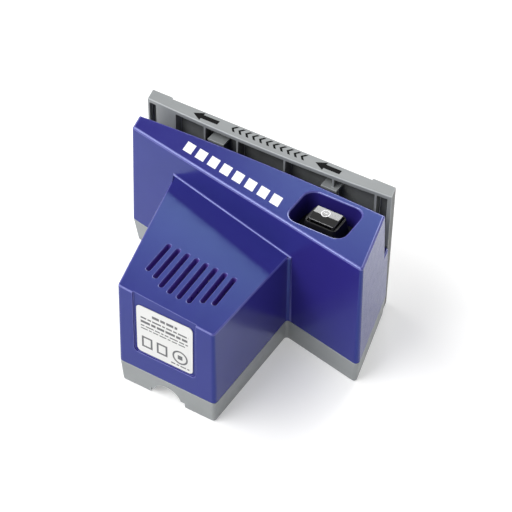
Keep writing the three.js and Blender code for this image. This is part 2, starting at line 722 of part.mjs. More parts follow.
// A screw along Y with its head towards +Y.
function railScrew(x, z) {
  const outerY = RAIL_HEAD_Y + RAIL_HEAD_H;
  const head = rodY(HEAD_R, RAIL_HEAD_Y, outerY, x, z, 16);
  const shank = rodY(SCREW_R, RAIL_HEAD_Y - 12.4, RAIL_HEAD_Y + 0.2, x, z, 12);
  const drive = box(
    x - DRIVE_HALF_LENGTH,
    x + DRIVE_HALF_LENGTH,
    outerY - DRIVE_DEPTH,
    outerY + 2,
    z - DRIVE_HALF_WIDTH,
    z + DRIVE_HALF_WIDTH,
  );
  return cut(join(head, shank), drive);
}

// ---------------------------------------------------------------- switch
const BOOT_FLOOR_Z = BAR_TOP_Z - POCKET_DEPTH + GAP;
const BOOT_TOP_Z = 75.4;
const CAP_LOW_Z = 68.6;
const COLLAR_W = 21.4;
const COLLAR_D = 16.2;
const COLLAR_R = 2.6;
const COLLAR_TAPER = 1.5;
const BOOT_FLANGE_T = 1;
const FLANGE_MARGIN = 0.8;
const RIM_GAP_X = 0.35;
const RIM_GAP_Y = 0.8;
const SWITCH_LOW_Z = 50;
const SWITCH_TOP_Z = 65.2;
const ROCKER_THROW = THREE.MathUtils.degToRad(8);
const ROCKER_DROP = (BUTTON_D / 2) * Math.tan(ROCKER_THROW);

function rockerCap() {
  const profile = [
    [BUTTON_Y - BUTTON_D / 2, CAP_LOW_Z],
    [BUTTON_Y + BUTTON_D / 2, CAP_LOW_Z],
    [BUTTON_Y + BUTTON_D / 2, BUTTON_TOP_Z],
    [BUTTON_Y, BUTTON_TOP_Z],
    [BUTTON_Y - BUTTON_D / 2, BUTTON_TOP_Z - ROCKER_DROP],
  ];
  const shape = new THREE.Shape(profile.map(([y, z]) => new THREE.Vector2(y, z)));
  const geometry = new THREE.ExtrudeGeometry(shape, { depth: BUTTON_W, bevelEnabled: false });
  // The profile's (y, z) becomes world (y, z) and its depth becomes x.
  geometry.applyMatrix4(new THREE.Matrix4().set(0, 0, 1, 0, 1, 0, 0, 0, 0, 1, 0, 0, 0, 0, 0, 1));
  geometry.translate(BUTTON_X - BUTTON_W / 2, 0, 0);
  return solid(geometry);
}

// A collar round the rocker, on a flange that covers the pocket's floor.
function switchBoot() {
  const collar = roundedBox(
    BUTTON_X,
    BUTTON_Y,
    COLLAR_W,
    COLLAR_D,
    COLLAR_R,
    BOOT_FLOOR_Z,
    BOOT_TOP_Z,
    -COLLAR_TAPER,
  );
  const flangeTopZ = BOOT_FLOOR_Z + BOOT_FLANGE_T;
  const flange = roundedBox(
    POCKET_X,
    POCKET_Y,
    POCKET_W - 2 * FLANGE_MARGIN,
    POCKET_D - 2 * FLANGE_MARGIN,
    POCKET_R - FLANGE_MARGIN,
    BOOT_FLOOR_Z,
    flangeTopZ,
  );
  const halfX = BUTTON_W / 2 + RIM_GAP_X;
  const halfY = BUTTON_D / 2 + RIM_GAP_Y;
  const hole = box(BUTTON_X - halfX, BUTTON_X + halfX, BUTTON_Y - halfY, BUTTON_Y + halfY, 60, 80);
  return cut(join(collar, flange), hole);
}

function switchBody() {
  const low = box(
    BUTTON_X - SWITCH_HALF_X,
    BUTTON_X + SWITCH_HALF_X,
    BUTTON_Y - SWITCH_HALF_Y,
    BUTTON_Y + SWITCH_HALF_Y,
    SWITCH_LOW_Z,
    SWITCH_TOP_Z,
  );
  const stem = box(BUTTON_X - 7, BUTTON_X + 7, BUTTON_Y - 3, BUTTON_Y + 3, SWITCH_TOP_Z - 0.2, 66.4);
  return join(low, stem);
}

// ---------------------------------------------------------------- motor and spindle
const MOTOR_BACK_Y = MOTOR_FRONT_Y - MOTOR_LENGTH;
const CAN_INNER_R = 16;
const END_HOLE_R = 3.4;
const MAGNET_OUTER_R = 15.6;
const MAGNET_INNER_R = 12.9;
const MAGNET_HALF_ANGLE = THREE.MathUtils.degToRad(58);
const MAGNET_LENGTH = 38;
const MAGNET_FRONT_Y = 22;
const ARMATURE_R = 12.3;
const ARMATURE_BACK_Y = -12;
const ARMATURE_FRONT_Y = 18;
const FAN_BACK_Y = 31;
const FAN_HUB_R = 6;
const FAN_HUB_LENGTH = 5.6;
const FAN_DISC_R = 15.5;
const FAN_DISC_THICK = 1.2;
const FAN_BLADE = { thick: 1, length: 5, reach: 10 };
const HUB_SCREW_Y = 49.6;
const BEARING_R = 8;
const BEARING_BACK_Y = 41;
const BEARING_FRONT_Y = 46;
const BEARING_SEAT_R = 8.3;
const PLATE_BACK_FACE_Y = 38;
const PLATE_LOW_Z = 4.5;
const PLATE_FOOT_TOP_Z = 7;
const STRAP_THICK = 1.4;
const STRAP_HALF_WIDTH = 3.5;
const STRAP_FOOT_THICK = 1.5;

function magnet(side) {
  const shape = new THREE.Shape();
  const centre = side > 0 ? 0 : Math.PI;
  const [from, to] = [centre - MAGNET_HALF_ANGLE, centre + MAGNET_HALF_ANGLE];
  shape.absarc(0, 0, MAGNET_OUTER_R, from, to, false);
  shape.absarc(0, 0, MAGNET_INNER_R, to, from, true);
  const options = { depth: MAGNET_LENGTH, bevelEnabled: false, curveSegments: 10 };
  const geometry = new THREE.ExtrudeGeometry(shape, options);
  geometry.rotateX(Math.PI / 2);
  geometry.translate(AXIS_X, MAGNET_FRONT_Y, AXIS_Z);
  return solid(geometry);
}

function armature() {
  let core = tubeY(ARMATURE_R, SHAFT_R + GAP, ARMATURE_BACK_Y, ARMATURE_FRONT_Y, 30);
  const poles = 5;
  for (let i = 0; i < poles; i += 1) {
    const angle = (i * 2 * Math.PI) / poles;
    const geometry = new THREE.BoxGeometry(3, 40, 7);
    geometry.translate(0, 3, 10);
    geometry.rotateY(angle);
    geometry.translate(AXIS_X, 0, AXIS_Z);
    core = cut(core, solid(geometry));
  }
  return core;
}

function coolingFan() {
  const bore = SHAFT_R + GAP;
  let fan = join(
    tubeY(FAN_HUB_R, bore, FAN_BACK_Y, FAN_BACK_Y + FAN_HUB_LENGTH, 24),
    tubeY(FAN_DISC_R, bore, FAN_BACK_Y, FAN_BACK_Y + FAN_DISC_THICK, 32),
  );
  const blades = 9;
  for (let i = 0; i < blades; i += 1) {
    const geometry = new THREE.BoxGeometry(FAN_BLADE.thick, FAN_BLADE.length, FAN_BLADE.reach);
    geometry.translate(0, FAN_BACK_Y + 0.5 + FAN_BLADE.length / 2, FAN_HUB_R - 1 + FAN_BLADE.reach / 2);
    geometry.rotateY((i * 2 * Math.PI) / blades);
    geometry.translate(AXIS_X, 0, AXIS_Z);
    fan = join(fan, solid(geometry));
  }
  return fan;
}

function wheelHub() {
  const body = join(
    rodY(6.4, 47.6, 52, AXIS_X, AXIS_Z, 24),
    rodY(FLANGE_R, 51.6, WHEEL_BACK_Y - GAP),
    rodY(4.7, 54, 57.8, AXIS_X, AXIS_Z, 24),
  );
  const setScrewHole = rodZ(1.6, AXIS_Z, AXIS_Z + 8, AXIS_X, HUB_SCREW_Y, 12);
  return cut(body, rodY(SHAFT_R + GAP, 47, 53.6), rodY(2.3, 53, 60), setScrewHole);
}

function grindingWheel() {
  const disc = tubeY(WHEEL_R, 5, WHEEL_BACK_Y, WHEEL_FACE_Y, 48);
  return cut(disc, rodY(9, 58.1, 65));
}

function bearingPlate() {
  const back = PLATE_BACK_FACE_Y;
  const web = box(AXIS_X - 18, AXIS_X + 18, back, back + 3.5, PLATE_LOW_Z, 52);
  const foot = box(AXIS_X - 28, AXIS_X + 28, back, back + 10.5, PLATE_LOW_Z, PLATE_FOOT_TOP_Z);
  let plate = join(web, foot, rodY(BEARING_SEAT_R + 1.3, back, BEARING_FRONT_Y + 0.4));
  plate = cut(plate, rodY(BEARING_SEAT_R, BEARING_BACK_Y - 0.5, 50), rodY(5, back - 3, 50));
  [-1, 1].forEach((side) => {
    plate = cut(plate, rodZ(SCREW_HOLE_R, 0, 20, AXIS_X + side * PLATE_BOSS_DX, PLATE_BOSS_Y, 12));
  });
  return plate;
}

function motorStrap() {
  const inner = MOTOR_R + 0.4;
  const outer = inner + STRAP_THICK;
  const y0 = STRAP_Y - STRAP_HALF_WIDTH;
  const y1 = STRAP_Y + STRAP_HALF_WIDTH;
  const ring = cut(rodY(outer, y0, y1), box(-60, 60, -30, 40, 0, AXIS_Z));
  let strap = ring;
  [-1, 1].forEach((side) => {
    const xs = [inner, outer, STRAP_POST_DX + 3.6].map((r) => AXIS_X + side * r);
    const foot = STRAP_POST_TOP_Z + GAP;
    strap = join(
      strap,
      box(Math.min(xs[0], xs[1]), Math.max(xs[0], xs[1]), y0, y1, foot, AXIS_Z + 0.5),
      box(Math.min(xs[0], xs[2]), Math.max(xs[0], xs[2]), y0, y1, foot, foot + STRAP_FOOT_THICK),
    );
    strap = cut(strap, rodZ(SCREW_HOLE_R, 10, 25, AXIS_X + side * STRAP_POST_DX, STRAP_Y, 12));
  });
  return cut(strap, rodY(inner, -40, 40, AXIS_X, AXIS_Z, 48));
}

// A lead that follows hand-laid points.
const LEAD_R = 0.9;

function lead(points) {
  const curve = new THREE.CatmullRomCurve3(points.map((p) => new THREE.Vector3(...p)));
  const section = new THREE.Shape();
  section.absarc(0, 0, LEAD_R, 0, 2 * Math.PI, false);
  const steps = Math.min(40, Math.round(curve.getLength() / 4));
  const options = { extrudePath: curve, steps, bevelEnabled: false, curveSegments: 4 };
  return solid(new THREE.ExtrudeGeometry(section, options));
}

const RED_FEED = [
  [10, -38, 15.6],
  [10.6, -40.5, 30],
  [13, -42, 46],
  [20, -40, 51],
  [26.5, -30, 50],
  [29.5, -10, 45],
  [30.5, 8, 42],
  [35, 21, 39],
  [39.6, 29.3, 41],
];
const RED_MOTOR = [
  [49.8, 29.3, 41],
  [46, 24, 32],
  [36, 19, 28.5],
  [30.4, 10, 27.5],
  [28.8, -14, 27.5],
  [26, -30, 30],
  [19.4, -33.6, 35.2],
];
const BLACK_MOTOR = [
  [2, -38, 15.6],
  [0, -38, 22],
  [-5, -37, 30],
  [-7.4, -33.8, 35.2],
];

// ---------------------------------------------------------------- assembly
add("top_cover", topCover(), "blue_plastic");
add("base_shell", baseShell(), "grey_plastic");
add("guide_rail", guideRail(), "grey_plastic");
add(
  "label_plate",
  roundedFrontSlab(
    LABEL_LEFT_X,
    LABEL_RIGHT_X,
    LABEL_LOW_Z,
    LABEL_HIGH_Z,
    LABEL_DEPTH - LABEL_THICK - LABEL_GLUE,
    LABEL_DEPTH - LABEL_GLUE,
    LABEL_R,
  ),
  "label_white",
);
COVER_POSTS.forEach(([x, y], i) => {
  add("cover_screw_" + (i + 1), screwZ(x, y, COVER_SCREW_HEAD_Z - GAP, COVER_SCREW_TIP_Z), "steel");
});
RAIL_SCREWS.forEach(([x, z], i) => {
  add("rail_screw_" + (i + 1), railScrew(x, z), "steel");
});

add("switch_boot", switchBoot(), "black_rubber");
add("switch_body", switchBody(), "black_plastic");
add("rocker_cap", rockerCap(), "black_plastic");
[-5, 5].forEach((dx, i) => {
  const x = BUTTON_X + dx;
  const blade = box(x - 2.4, x + 2.4, BUTTON_Y - 0.4, BUTTON_Y + 0.4, 42.4, 49.7);
  add("switch_terminal_" + (i + 1), blade, "brass");
});

const JACK_FRONT_Y = TUNNEL_BACK_Y + 2.3;
const jackBarrel = rodY(3.3, TUNNEL_BACK_Y - 1, JACK_FRONT_Y + 1, ARCH_X, JACK_Z, 20);
const jackBlock = box(ARCH_X - 7, ARCH_X + 7, JACK_FRONT_Y, JACK_FRONT_Y + 12, 2.3, 13.4);
const jackBore = rodY(2.7, TUNNEL_BACK_Y - 2, JACK_FRONT_Y + 8, ARCH_X, JACK_Z, 20);
add("dc_jack_body", cut(join(jackBarrel, jackBlock), jackBore), "black_plastic");
add("dc_jack_pin", rodY(1, TUNNEL_BACK_Y - 0.4, JACK_FRONT_Y + 7.6, ARCH_X, JACK_Z, 12), "steel");

add("motor_can", tubeY(MOTOR_R, CAN_INNER_R, MOTOR_BACK_Y, MOTOR_FRONT_Y, 40), "steel");
const frontPlateY = MOTOR_FRONT_Y + GAP;
add("motor_front_plate", tubeY(MOTOR_R, END_HOLE_R, frontPlateY, frontPlateY + 2, 40), "steel");
const bellY = MOTOR_BACK_Y - GAP;
const bell = tubeY(MOTOR_R, END_HOLE_R, bellY - 5, bellY, 40);
const bellBoss = tubeY(6, END_HOLE_R, bellY - 7.5, bellY - 4, 24);
add("motor_end_bell", join(bell, bellBoss), "black_plastic");
add("magnet_right", magnet(1), "magnet");
add("magnet_left", magnet(-1), "magnet");
[-1, 1].forEach((side) => {
  const word = side > 0 ? "right" : "left";
  const from = AXIS_X + side * 5.1;
  const to = AXIS_X + side * 11;
  const brush = box(Math.min(from, to), Math.max(from, to), -19, -15, AXIS_Z - 2, AXIS_Z + 2);
  add("brush_" + word, brush, "copper");
  const tab = AXIS_X + side * 12;
  add("brush_terminal_" + word, box(tab - 1.8, tab + 1.8, -32.8, -27.6, 35.6, 36.4), "brass");
  const strapX = AXIS_X + side * STRAP_POST_DX;
  const strapTop = STRAP_POST_TOP_Z + GAP * 2 + STRAP_FOOT_THICK;
  add("strap_screw_" + word, screwZ(strapX, STRAP_Y, strapTop, 8.6), "steel");
  const bossX = AXIS_X + side * PLATE_BOSS_DX;
  add("plate_screw_" + word, screwZ(bossX, PLATE_BOSS_Y, PLATE_FOOT_TOP_Z + GAP, 1.2), "steel");
});
add("suppressor_capacitor", rodY(4.4, -38, -35, AXIS_X, AXIS_Z, 20), "ceramic_orange");
add("motor_strap", motorStrap(), "steel");
add("bearing_plate", bearingPlate(), "black_plastic");
add("bearing_outer_ring", tubeY(BEARING_R, 6.2, BEARING_BACK_Y, BEARING_FRONT_Y, 32), "steel");
add("bearing_shield", tubeY(5.9, 4.4, BEARING_FRONT_Y - 1, BEARING_FRONT_Y - 0.2, 32), "steel");
add("red_lead_feed", lead(RED_FEED), "wire_red");
add("red_lead_motor", lead(RED_MOTOR), "wire_red");
add("black_lead_motor", lead(BLACK_MOTOR), "wire_black");

add("motor_shaft", rodY(SHAFT_R, -27, 53.2, AXIS_X, AXIS_Z, 24), "steel");
add("armature", armature(), "copper");
add("commutator", tubeY(4.7, SHAFT_R + GAP, -20, -13, 24), "copper");
add("bearing_inner_ring", tubeY(4.1, SHAFT_R + GAP, BEARING_BACK_Y, BEARING_FRONT_Y, 32), "steel");
add("cooling_fan", coolingFan(), "black_plastic");
add("wheel_hub", wheelHub(), "steel");
add("hub_set_screw", rodZ(1.3, AXIS_Z + 2.9, AXIS_Z + 6, AXIS_X, HUB_SCREW_Y, 12), "steel");
add("grinding_wheel", grindingWheel(), "abrasive");
const clampHead = cut(rodY(7.5, 58.4, 60.4, AXIS_X, AXIS_Z, 24), rodY(2, 59.2, 62, AXIS_X, AXIS_Z, 6));
add("wheel_screw", join(clampHead, rodY(2, 54, 58.6, AXIS_X, AXIS_Z, 16)), "steel");

export default group;
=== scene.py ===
import json
import math

import bmesh
import bpy
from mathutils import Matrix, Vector


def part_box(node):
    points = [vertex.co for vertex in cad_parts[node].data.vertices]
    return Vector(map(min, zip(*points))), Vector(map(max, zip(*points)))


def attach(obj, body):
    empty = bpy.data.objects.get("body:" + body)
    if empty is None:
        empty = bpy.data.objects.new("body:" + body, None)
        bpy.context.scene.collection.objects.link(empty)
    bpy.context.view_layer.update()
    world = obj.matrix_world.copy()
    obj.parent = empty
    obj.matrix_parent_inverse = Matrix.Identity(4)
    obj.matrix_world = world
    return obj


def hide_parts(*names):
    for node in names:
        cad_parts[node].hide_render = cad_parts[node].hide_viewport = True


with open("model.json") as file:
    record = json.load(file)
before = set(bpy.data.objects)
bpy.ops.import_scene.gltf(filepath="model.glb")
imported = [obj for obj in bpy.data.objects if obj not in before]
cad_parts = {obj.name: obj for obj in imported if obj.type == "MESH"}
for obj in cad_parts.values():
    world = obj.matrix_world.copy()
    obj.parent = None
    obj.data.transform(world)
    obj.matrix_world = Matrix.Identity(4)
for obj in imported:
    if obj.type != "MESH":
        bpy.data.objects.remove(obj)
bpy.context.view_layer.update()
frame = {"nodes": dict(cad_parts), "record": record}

MM = 0.001

# ---------------------------------------------------------------- places read from the frame
cover_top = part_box("top_cover")[1].z / MM
rail_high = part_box("guide_rail")[1] / MM
label_low, label_high = (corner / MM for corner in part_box("label_plate"))
cap_low, cap_high = (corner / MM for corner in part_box("rocker_cap"))
cap_middle = (cap_low + cap_high) / 2
BODY_OF = {node: body for body, nodes in frame["record"]["behaviour"]["bodies"].items() for node in nodes}
SLOT_OF = {part["node"]: part["material_slot"] for part in frame["record"]["subparts"]}

# ---------------------------------------------------------------- camera, lights, stage
CAMERA_AZIMUTH = math.radians(32.257)
CAMERA_ELEVATION = math.radians(43.521)
CAMERA_DISTANCE = 0.94475
CAMERA_TARGET = Vector((-0.008, 0.0215, 0.0408))
CAMERA_LENS = 125.3
CAMERA_SHIFT = (0.0511, -0.0330)  # the object stands a little left of the frame's middle and above it

FLOOR_HALF = 6.0
FLOOR_Z = -0.0004  # just under the tray, so the two never share a plane
FLOOR_TONE = 0.82
FLOOR_GLOW = 0.3
LIGHTS_AIM = Vector((0, 0, 0.04))

# The sky's brightness at three heights, from 0 at the horizon to 1 overhead.
SKY = ((0.02, 0.95), (0.22, 0.45), (0.8, 0.22))


def make_camera():
    data = bpy.data.cameras.new("camera")
    data.lens = CAMERA_LENS
    data.sensor_width = 36.0
    data.shift_x, data.shift_y = CAMERA_SHIFT
    data.clip_start = 0.05
    data.clip_end = 50.0
    camera = bpy.data.objects.new("camera", data)
    bpy.context.scene.collection.objects.link(camera)
    level = math.cos(CAMERA_ELEVATION)
    back = Vector(
        (
            math.sin(CAMERA_AZIMUTH) * level,
            -math.cos(CAMERA_AZIMUTH) * level,
            math.sin(CAMERA_ELEVATION),
        )
    )
    camera.location = CAMERA_TARGET + CAMERA_DISTANCE * back
    camera.rotation_euler = (-back).to_track_quat("-Z", "Y").to_euler()
    bpy.context.scene.camera = camera


def add_softbox(name, azimuth, elevation, distance, size, radiance):
    """A flat soft light facing the tool. Its azimuth is counted in degrees from +Y towards +X, and its
    radiance is the brightness of its face."""
    width, height = size
    data = bpy.data.lights.new(name, "AREA")
    data.shape = "RECTANGLE"
    data.size = width
    data.size_y = height
    data.energy = math.pi * width * height * radiance
    light = bpy.data.objects.new(name, data)
    light.visible_camera = False
    bpy.context.scene.collection.objects.link(light)
    azimuth, elevation = math.radians(azimuth), math.radians(elevation)
    away = Vector(
        (
            math.sin(azimuth) * math.cos(elevation),
            math.cos(azimuth) * math.cos(elevation),
            math.sin(elevation),
        )
    )
    light.location = LIGHTS_AIM + away * distance
    light.rotation_euler = (-away).to_track_quat("-Z", "Y").to_euler()


def make_stage():
    mesh = bpy.data.meshes.new("floor")
    signs = [(-1, -1), (1, -1), (1, 1), (-1, 1)]
    corners = [(x * FLOOR_HALF, y * FLOOR_HALF, FLOOR_Z) for x, y in signs]
    mesh.from_pydata(corners, [], [(0, 1, 2, 3)])
    floor = bpy.data.objects.new("floor", mesh)
    bpy.context.scene.collection.objects.link(floor)
    material, tree, shader = new_material("floor_paper")
    shader.inputs["Base Color"].default_value = (FLOOR_TONE, FLOOR_TONE, FLOOR_TONE, 1)
    shader.inputs["Roughness"].default_value = 0.9
    shader.inputs["Specular IOR Level"].default_value = 0.1
    shader.inputs["Emission Color"].default_value = (1, 1, 1, 1)
    shader.inputs["Emission Strength"].default_value = FLOOR_GLOW
    mesh.materials.append(material)


def make_world():
    world = bpy.data.worlds.new("studio")
    bpy.context.scene.world = world
    world.use_nodes = True
    tree = world.node_tree
    background = tree.nodes["Background"]
    direction = tree.nodes.new("ShaderNodeTexCoord")
    split = tree.nodes.new("ShaderNodeSeparateXYZ")
    tree.links.new(direction.outputs["Generated"], split.inputs[0])
    ramp = tree.nodes.new("ShaderNodeValToRGB")
    ramp.color_ramp.interpolation = "EASE"
    stops = ramp.color_ramp.elements
    stops.new(0.5)
    for stop, (height, tone) in zip(stops, SKY):
        stop.position = height
        stop.color = (tone, tone, tone, 1)
    tree.links.new(split.outputs["Z"], ramp.inputs[0])
    tree.links.new(ramp.outputs[0], background.inputs["Color"])
    background.inputs["Strength"].default_value = 1.0


# ---------------------------------------------------------------- material helpers
def new_material(name):
    material = bpy.data.materials.new(name)
    material.use_nodes = True
    tree = material.node_tree
    return material, tree, tree.nodes["Principled BSDF"]


def add_noise(tree, scale, detail=2.0, stretch=(1, 1, 1)):
    """Noise in the piece's own coordinates; scale counts features per metre."""
    place = tree.nodes.new("ShaderNodeTexCoord")
    mapping = tree.nodes.new("ShaderNodeMapping")
    mapping.inputs["Scale"].default_value = stretch
    noise = tree.nodes.new("ShaderNodeTexNoise")
    noise.inputs["Scale"].default_value = scale
    noise.inputs["Detail"].default_value = detail
    tree.links.new(place.outputs["Object"], mapping.inputs["Vector"])
    tree.links.new(mapping.outputs["Vector"], noise.inputs["Vector"])
    return noise.outputs["Fac"]


def spread(tree, value, low, high, start=0.3, end=0.7):
    """A value from start to end becomes low to high."""
    node = tree.nodes.new("ShaderNodeMapRange")
    node.inputs["From Min"].default_value = start
    node.inputs["From Max"].default_value = end
    node.inputs["To Min"].default_value = low
    node.inputs["To Max"].default_value = high
    tree.links.new(value, node.inputs["Value"])
    return node.outputs["Result"]


def mix_colours(tree, factor, first, second):
    node = tree.nodes.new("ShaderNodeMix")
    node.data_type = "RGBA"
    node.inputs["A"].default_value = (*first, 1)
    node.inputs["B"].default_value = (*second, 1)
    tree.links.new(factor, node.inputs["Factor"])
    return node.outputs["Result"]


def add_bump(tree, shader, height, distance):
    bump = tree.nodes.new("ShaderNodeBump")
    bump.inputs["Distance"].default_value = distance
    bump.inputs["Strength"].default_value = 1.0
    tree.links.new(height, bump.inputs["Height"])
    tree.links.new(bump.outputs["Normal"], shader.inputs["Normal"])


def moulded(
    name,
    colour,
    roughness,
    grain_scale,
    grain_depth,
    shade=0.06,
    specular=0.5,
    tint=(1, 1, 1),
    ior=1.5,
):
    """Moulded surface: mottled tone, uneven gloss and a fine grain in relief."""
    material, tree, shader = new_material(name)
    darker = tuple(c * (1 - shade) for c in colour)
    lighter = tuple(min(1.0, c * (1 + shade)) for c in colour)
    tone = spread(tree, add_noise(tree, 60, 3), 0.0, 1.0)
    tree.links.new(mix_colours(tree, tone, darker, lighter), shader.inputs["Base Color"])
    gloss = spread(tree, add_noise(tree, 260, 4), roughness * 0.88, roughness * 1.14)
    tree.links.new(gloss, shader.inputs["Roughness"])
    add_bump(tree, shader, add_noise(tree, grain_scale, 3), grain_depth)
    shader.inputs["Specular IOR Level"].default_value = specular
    shader.inputs["Specular Tint"].default_value = (*tint, 1)
    shader.inputs["IOR"].default_value = ior
    return material


def srgb(red, green, blue):
    """A screen colour as the linear colour that shaders take."""

    def linear(value):
        value /= 255
        return value / 12.92 if value <= 0.04045 else ((value + 0.055) / 1.055) ** 2.4

    return tuple(linear(v) for v in (red, green, blue))


def abrasive_material():
    """Bonded grit: two reds in fine grains that stand out in relief."""
    material, tree, shader = new_material("abrasive")
    grit = add_noise(tree, 2600, 4)
    grains = tree.nodes.new("ShaderNodeTexVoronoi")
    grains.inputs["Scale"].default_value = 2200
    place = tree.nodes.new("ShaderNodeTexCoord")
    tree.links.new(place.outputs["Object"], grains.inputs["Vector"])
    colour = mix_colours(tree, spread(tree, grit, 0, 1), srgb(118, 62, 44), srgb(182, 112, 84))
    tree.links.new(colour, shader.inputs["Base Color"])
    shader.inputs["Roughness"].default_value = 0.92
    add_bump(tree, shader, grains.outputs["Distance"], 0.00025)
    return material


def winding_material():
    """Fine uneven turns of enamelled wire."""
    material, tree, shader = new_material("copper_winding")
    wave = tree.nodes.new("ShaderNodeTexWave")
    wave.inputs["Scale"].default_value = 900
    wave.inputs["Distortion"].default_value = 1.5
    place = tree.nodes.new("ShaderNodeTexCoord")
    tree.links.new(place.outputs["Object"], wave.inputs["Vector"])
    colour = mix_colours(tree, wave.outputs["Fac"], srgb(112, 48, 24), srgb(214, 122, 70))
    tree.links.new(colour, shader.inputs["Base Color"])
    shader.inputs["Metallic"].default_value = 0.8
    shader.inputs["Roughness"].default_value = 0.38
    add_bump(tree, shader, wave.outputs["Fac"], 0.0002)
    return material


def brushed(name, colour, roughness, stretch):
    """Metal with fine lines, which run across the axis with the largest stretch."""
    material, tree, shader = new_material(name)
    lines = add_noise(tree, 700, 4, stretch)
    dark = tuple(c * 0.8 for c in colour)
    tree.links.new(mix_colours(tree, spread(tree, lines, 0, 1), dark, colour), shader.inputs["Base Color"])
    tree.links.new(spread(tree, lines, roughness * 0.8, roughness * 1.3), shader.inputs["Roughness"])
    shader.inputs["Metallic"].default_value = 1.0
    add_bump(tree, shader, lines, 0.00002)
    return material


# Linear colours: each plastic's faces, its walls in the shade with painted shade and its rounded edges
# with a painted highlight, and the blue's gloss.
BLUE = (0.026, 0.019, 0.18)
BLUE_PAINTED_SHADE = (0.15, 0.08, 0.42)
BLUE_PAINTED_HIGHLIGHT = (0.08, 0.075, 0.32)
GLOSS_TINT = (0.15, 0.5, 1.0)
PAINTED_HIGHLIGHT_TINT = (0.6, 0.7, 1.0)
GREY = (0.25, 0.264, 0.268)
GREY_PAINTED_SHADE = (0.13, 0.137, 0.135)
GREY_PAINTED_HIGHLIGHT = (0.4, 0.42, 0.43)

MATERIALS = {
    "blue_plastic": moulded("blue_gloss", BLUE, 0.21, 1500, 0.000006, 0.03, 0.6, GLOSS_TINT),
    # The copy of the blue for the slot walls holds painted shade.
    "blue_painted_shade": moulded("blue_painted_shade", BLUE_PAINTED_SHADE, 0.3, 1500, 0.000006, 0.03, 0.6, GLOSS_TINT),
    # A lighter, glossier copy of the blue for the rounded edges: a painted highlight.
    "blue_painted_highlight": moulded("blue_painted_highlight", BLUE_PAINTED_HIGHLIGHT, 0.2, 1500, 0.000006, 0.03, 1.0, PAINTED_HIGHLIGHT_TINT, 1.6),
    "grey_plastic": moulded("grey_satin", GREY, 0.42, 1800, 0.00003, 0.04),
    "grey_painted_shade": moulded("grey_painted_shade", GREY_PAINTED_SHADE, 0.55, 900, 0.00012, 0.25),
    # A lighter copy of the grey for the rounded edges: a painted highlight.
    "grey_painted_highlight": moulded("grey_painted_highlight", GREY_PAINTED_HIGHLIGHT, 0.38, 1800, 0.00002, 0.04),
    "black_plastic": moulded("black_gloss", srgb(10, 10, 11), 0.1, 1600, 0.000003, 0.2, 1.0, ior=1.8),
    # A lighter copy of the black for the rounded edges: a painted highlight.
    "black_painted_highlight": moulded("black_painted_highlight", srgb(60, 60, 62), 0.2, 1600, 0.000006, 0.1, 1.0),
    "black_rubber": moulded("black_rubber", srgb(18, 18, 19), 0.5, 2200, 0.00004, 0.15),
    "label_white": moulded("label_film", (0.68, 0.68, 0.67), 0.38, 900, 0.000008, 0.01),
    "steel": brushed("zinc_steel", srgb(196, 198, 202), 0.32, (1, 9, 1)),
    "brass": brushed("stamped_brass", srgb(205, 172, 96), 0.3, (1, 1, 8)),
    "copper": winding_material(),
    "magnet": moulded("ferrite", srgb(62, 62, 65), 0.6, 1900, 0.00005, 0.12),
    "abrasive": abrasive_material(),
    "ceramic_orange": moulded("dipped_ceramic", srgb(206, 104, 44), 0.35, 500, 0.00008, 0.08),
    "wire_red": moulded("red_insulation", srgb(214, 44, 22), 0.35, 900, 0.00001, 0.06),
    "wire_black": moulded("black_insulation", srgb(28, 28, 30), 0.4, 900, 0.00001, 0.1),
    "ink_black": moulded("black_ink", srgb(10, 10, 11), 0.6, 2400, 0.000004, 0.15, 0.08),
    "ink_white": moulded("white_ink", srgb(244, 244, 246), 0.4, 2400, 0.000004, 0.015),
    "ink_grey": moulded("grey_ink", srgb(96, 97, 99), 0.5, 2400, 0.000004, 0.05),
}
# The copy of a plastic with painted shade, for faces that lie in the shade.
PAINTED_SHADE_OF = {"blue_plastic": "blue_painted_shade", "grey_plastic": "grey_painted_shade"}
# The lighter copy of a plastic for its rounded edges: a painted highlight.
PAINTED_HIGHLIGHT_OF = {"blue_plastic": "blue_painted_highlight", "grey_plastic": "grey_painted_highlight", "black_plastic": "black_painted_highlight"}


# ---------------------------------------------------------------- mesh helpers
MERGE_DISTANCE = 2e-6
LEVEL = 0.97  # least z of a nearly level face's normal
FLAT_ANGLE = math.radians(0.12)  # faces that meet at less than this count as one
SHARP_ANGLE = math.radians(28)  # edges that turn more than this are rounded
# The second place holds the painted highlight for rounded edges, the third the painted shade.
FACE, PAINTED_HIGHLIGHT, PAINTED_SHADE = 0, 1, 2  # places in a piece's list of materials
MARK_THICKNESS = 0.05  # millimetres, like the two below
LABEL_THICKNESS = 0.4
DASH_GAP = 0.75
ROCKER_TILT = math.radians(8)  # between the two faces of the rocker's cap


def link_piece(name, mesh, slot, body, *replaced):
    piece = bpy.data.objects.new(name, mesh)
    bpy.context.scene.collection.objects.link(piece)
    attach(piece, body)
    if replaced:
        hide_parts(*replaced)
    return piece


def divide(bm, height, y):
    """Cut the nearly level faces between two heights along a line of constant y. A flat face with holes
    then keeps its dividing edges there, away from its corners."""
    low, high = height
    faces = [f for f in bm.faces if f.normal.z > LEVEL and low < f.calc_center_median().z / MM < high]
    edges = {e for f in faces for e in f.edges}
    verts = {v for f in faces for v in f.verts}
    done = bmesh.ops.bisect_plane(
        bm, geom=faces + list(edges) + list(verts), plane_co=(0, y * MM, 0), plane_no=(0, 1, 0)
    )
    for element in done["geom_cut"]:
        if isinstance(element, bmesh.types.BMEdge):
            element.seam = True


